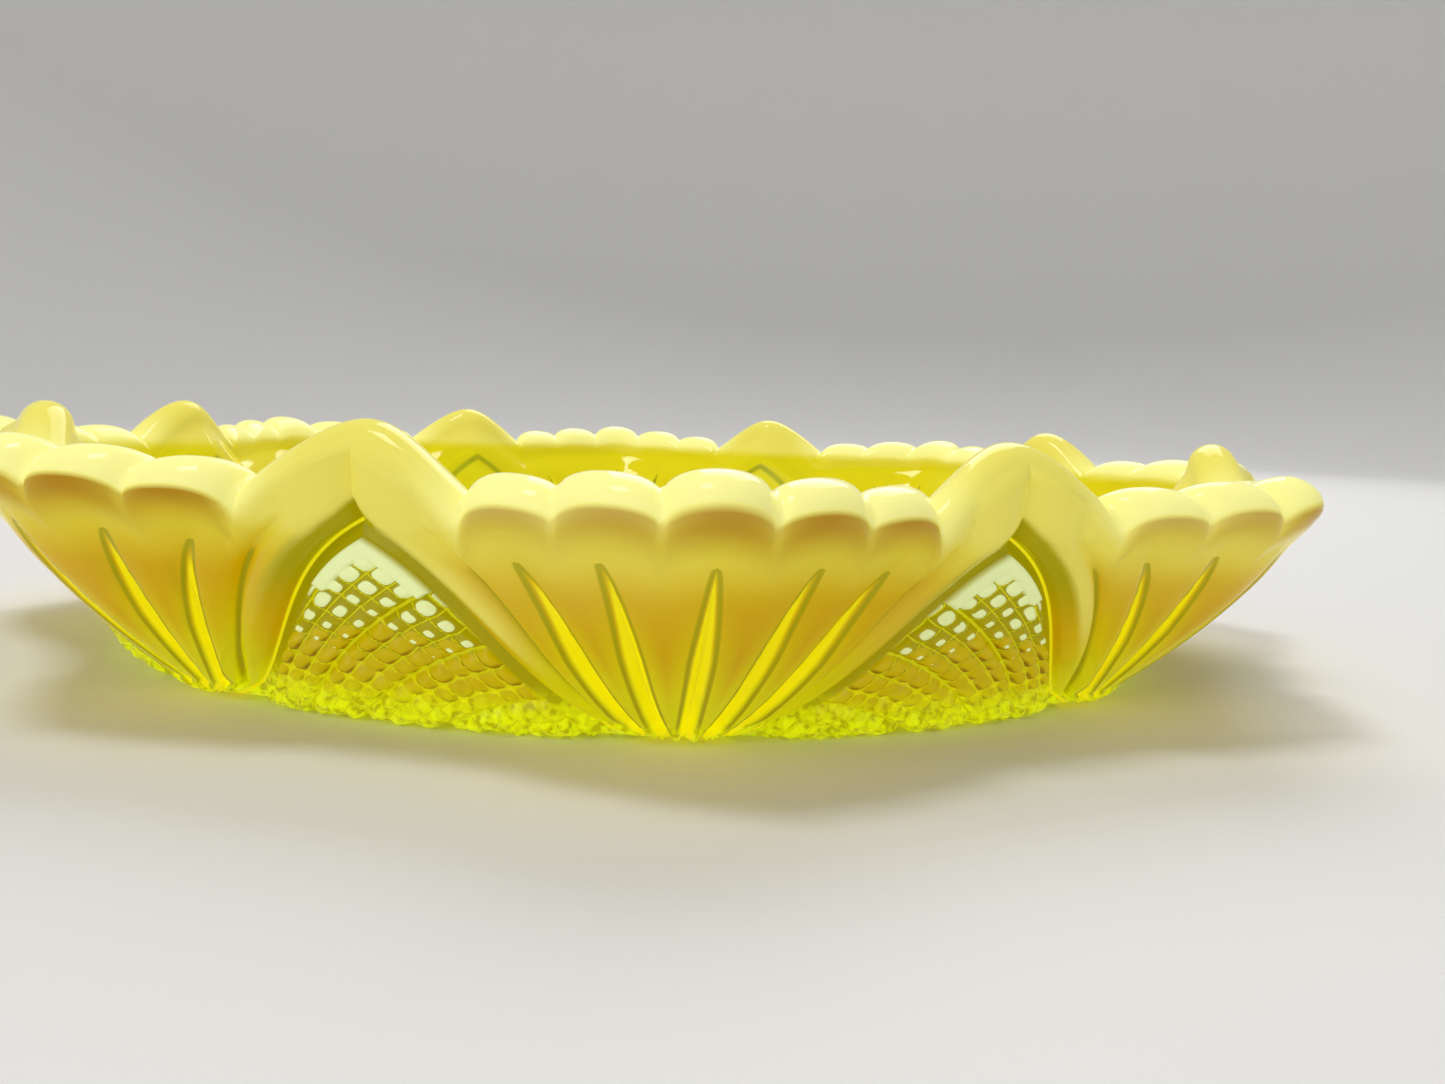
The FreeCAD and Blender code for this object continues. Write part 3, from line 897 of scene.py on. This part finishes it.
def ghost_mask(paint, arch, flute):
    """Painted shade: the flutes and the arches as they would show dark through the smooth inside.
    """
    ghost_arch = paint.step(paint.calc("ABSOLUTE", arch), *GHOST)
    ghost_flute = paint.both(paint.step(flute, *FLUTE_GHOST), paint.step(arch, *GHOST_FAN))
    ghost = paint.calc("MAXIMUM", ghost_flute, paint.calc("MULTIPLY", ghost_arch, GHOST_STRENGTH))
    return paint.both(paint.field("inner_wall"), ghost)


def glint_colour(paint):
    """Colour of the foot's painted glow, with painted bright and dark glints in it."""
    glint_noise = paint.noise(*GLINT_NOISE)
    glint = paint.mix(paint.step(glint_noise, *GLINT), GREEN_YELLOW, LIME)
    shadow = paint.calc("MULTIPLY", paint.step(glint_noise, *SHADOW_GLINT), SHADOW_STRENGTH)
    return paint.mix(shadow, glint, OLIVE)


def glass_bump(paint, cloud, grain):
    """Normal of the glass with its slight waviness and grain."""
    bump = paint.tree.nodes.new("ShaderNodeBump")
    relief = paint.calc("ADD", cloud, paint.calc("MULTIPLY", grain, BUMP_GRAIN))
    paint.put(bump.inputs["Height"], relief)
    paint.put(bump.inputs["Strength"], BUMP_STRENGTH)
    paint.put(bump.inputs["Distance"], BUMP_DEPTH)
    return bump.outputs["Normal"]


def glass_material():
    """Uranium glass: clear yellow low down, cloudy amber in the wall, opaque cream at the rim."""
    paint = Painter("uranium_glass")
    outer = paint.field("outer")
    height = paint.field("height")
    arch = paint.field("arch")
    flute = paint.field("flute")
    cloud = paint.noise(*CLOUD)
    grain = paint.noise(*GRAIN)

    fan = paint.both(outer, paint.step(arch, *ON_FAN))
    panel = paint.both(outer, paint.step(arch, *ON_PANEL))
    lattice = paint.both(panel, paint.step(arch, *FIELD))
    # painted shade on the step down from a fan to its arch
    groove_shade = paint.both(fan, paint.step(arch, *GROOVE_SHADE), paint.step(height, *GROOVE_SHADE_HEIGHTS))
    # painted shade: a dark line along each flute's brink and along the crease
    brink_shade = paint.step(paint.calc("ABSOLUTE", paint.calc("ADD", flute, BRINK_SHADE_OUT)), *BRINK_SHADE)
    ridge = paint.step(paint.calc("ABSOLUTE", arch), *RIDGE)
    white, line, dome, dark = lattice_masks(paint, arch)
    opal = opal_mask(paint, fan, cloud, height, flute)
    low = paint.step(height, *LOW_PANEL)
    # painted shade: the underside's star as dark lines on the floor
    star = paint.both(paint.step(height, FLOOR + 1, FLOOR), paint.field("inner"),
                      paint.calc("MULTIPLY", star_mask(paint), STAR_STRENGTH))
    # painted light on the petals beside each flute
    beside = paint.both(fan, paint.step(flute, *FLUTE_SIDE_LIGHT), paint.step(height, *FLUTE_SIDE_LIGHT_HEIGHTS),
                        FLUTE_SIDE_LIGHT_STRENGTH)
    upper_body = paint.scaled(paint.step(height, *BODY_HIGH), 1.0, BODY_LEAST)
    body = paint.both(fan, paint.step(height, *BODY_LOW), upper_body)
    # painted light in each flute's core
    in_flute = paint.both(fan, paint.step(flute, *FLUTE_LIGHT), paint.scaled(grain, *FLUTE_LIGHT_RANGE))
    coats = (
        (paint.field("inner"), INNER_YELLOW),
        (body, OCHRE),
        # painted light beside the flutes
        (beside, YELLOW),
        # painted shade along the flutes' brinks and the crease
        (paint.both(fan, brink_shade), OLIVE),
        # painted shade on the step outside the arch
        (groove_shade, OLIVE),
        (panel, OLIVE),
        (paint.both(lattice, low), BRIGHT_YELLOW),
        (paint.both(lattice, dome), GOLD),
        # painted shade on the domes' lower sides
        (paint.both(lattice, dark), DOME_SHADE_BROWN),
        # painted shade below the scallops
        (paint.field("amber"), AMBER_SHADE),
        # painted glow and glints of the foot
        (paint.field("glow"), glint_colour(paint)),
        # painted light in the flutes' cores
        (in_flute, BRIGHT_YELLOW),
        (paint.both(outer, ridge), BRIGHT_YELLOW),
        (paint.both(lattice, line), YELLOW),
        # painted shade of the flutes and arches seen through the inside
        (ghost_mask(paint, arch, flute), DEEP_GREEN_SHADE),
        # painted shade of the star seen through the floor
        (star, DEEP_GREEN_SHADE),
        (paint.both(lattice, white), MINT),
        # opal, with painted light on one side of each fan
        (opal, paint.mix(paint.field("lip"), CREAM, LEMON)),
    )
    colour = YELLOW
    for mask, coat in coats:
        colour = paint.mix(mask, colour, coat)
    colour = paint.mix(paint.scaled(cloud, 0.0, TINT), colour, OCHRE)
    paint.put(paint.shader.inputs["Base Color"], colour)
    # painted glow: the glass gives off light in its own colour
    paint.put(paint.shader.inputs["Emission Color"], colour)
    paint.put(paint.shader.inputs["Emission Strength"], EMISSION)

    opaque = paint.calc("MAXIMUM", opal, paint.both(lattice, white))
    clearness = paint.scaled(opaque, CLEAR_TRANSMISSION, OPAL_TRANSMISSION)
    paint.put(paint.shader.inputs["Transmission Weight"], clearness)
    paint.put(paint.shader.inputs["Roughness"], paint.scaled(grain, *ROUGHNESS))
    paint.put(paint.shader.inputs["Specular IOR Level"], SPECULAR)
    paint.put(paint.shader.inputs["IOR"], IOR)
    paint.put(paint.shader.inputs["Normal"], glass_bump(paint, cloud, grain))
    return paint.material


# ---------------------------------------------------------------- stage
def build_stage():
    """A plain pale floor that sweeps up into a wall all round."""
    turns = np.radians(np.arange(0, 360, SWEEP_STEP))
    profile = [(SWEEP_FLOOR + SWEEP_CURVE * math.sin(angle), SWEEP_CURVE * (1 - math.cos(angle)))
               for angle in np.linspace(0, QUARTER, SWEEP_ROWS)]
    profile.append((SWEEP_FLOOR + SWEEP_CURVE, SWEEP_TOP))
    points = [(radius * math.cos(turn), radius * math.sin(turn), height)
              for radius, height in profile for turn in turns]
    count = len(turns)
    faces = [tuple(range(count))]
    for row in range(len(profile) - 1):
        for column in range(count):
            beside = (column + 1) % count
            faces.append((row * count + column, (row + 1) * count + column,
                          (row + 1) * count + beside, row * count + beside))
    mesh = bpy.data.meshes.new("stage")
    mesh.from_pydata(points, [], faces)
    mesh.shade_smooth()
    stage = bpy.data.objects.new("stage", mesh)
    stage.location.z = -STAGE_GAP
    bpy.context.collection.objects.link(stage)
    paint = Painter("stage")
    paint.put(paint.shader.inputs["Base Color"], STAGE_COLOUR)
    paint.put(paint.shader.inputs["Roughness"], STAGE_ROUGHNESS)
    mesh.materials.append(paint.material)


def add_light(name, place, size, power):
    """A square soft light that looks at the dish."""
    data = bpy.data.lights.new(name, "AREA")
    data.size = size
    data.energy = power
    light = bpy.data.objects.new(name, data)
    light.location = place
    light.rotation_mode = "QUATERNION"
    light.rotation_quaternion = (Vector(LIT_POINT) - Vector(place)).to_track_quat("-Z", "Y")
    bpy.context.collection.objects.link(light)


def build_lights():
    """Soft studio light: one from behind, a smaller one from above, a fill from the front."""
    for light in LIGHTS:
        add_light(*light)
    world = bpy.data.worlds.new("studio")
    world.use_nodes = True
    background = world.node_tree.nodes["Background"]
    background.inputs["Color"].default_value = SKY_COLOUR
    background.inputs["Strength"].default_value = SKY_STRENGTH
    bpy.context.scene.world = world


def build_camera():
    """Low three-quarter view from close in front, as a phone is held."""
    data = bpy.data.cameras.new("camera")
    data.sensor_width = CAMERA_SENSOR
    data.lens = CAMERA_LENS
    data.clip_start = CAMERA_NEAR
    camera = bpy.data.objects.new("camera", data)
    bearing = math.radians(CAMERA_BEARING)
    camera.location = Vector((-CAMERA_AWAY * math.sin(bearing), -CAMERA_AWAY * math.cos(bearing),
                              CAMERA_HEIGHT)) * MM
    heading = math.radians(CAMERA_HEADING)
    pitch = math.radians(CAMERA_PITCH)
    ahead = Vector((math.sin(heading) * math.cos(pitch), math.cos(heading) * math.cos(pitch),
                    math.sin(pitch)))
    level = ahead.to_track_quat("-Z", "Y").to_matrix()
    roll = Matrix.Rotation(math.radians(CAMERA_ROLL), 3, "Z")
    camera.rotation_mode = "QUATERNION"
    camera.rotation_quaternion = (level @ roll).to_quaternion()
    bpy.context.collection.objects.link(camera)
    bpy.context.scene.camera = camera


build_camera()
build_stage()
build_lights()
dish = build_dish()
dish.data.materials.append(glass_material())
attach(dish, "root")
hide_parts("clear_base", "pressed_wall", "opal_rim")
# the default view transform would turn the glass's saturated yellow pale
bpy.context.scene.view_settings.view_transform = "Standard"
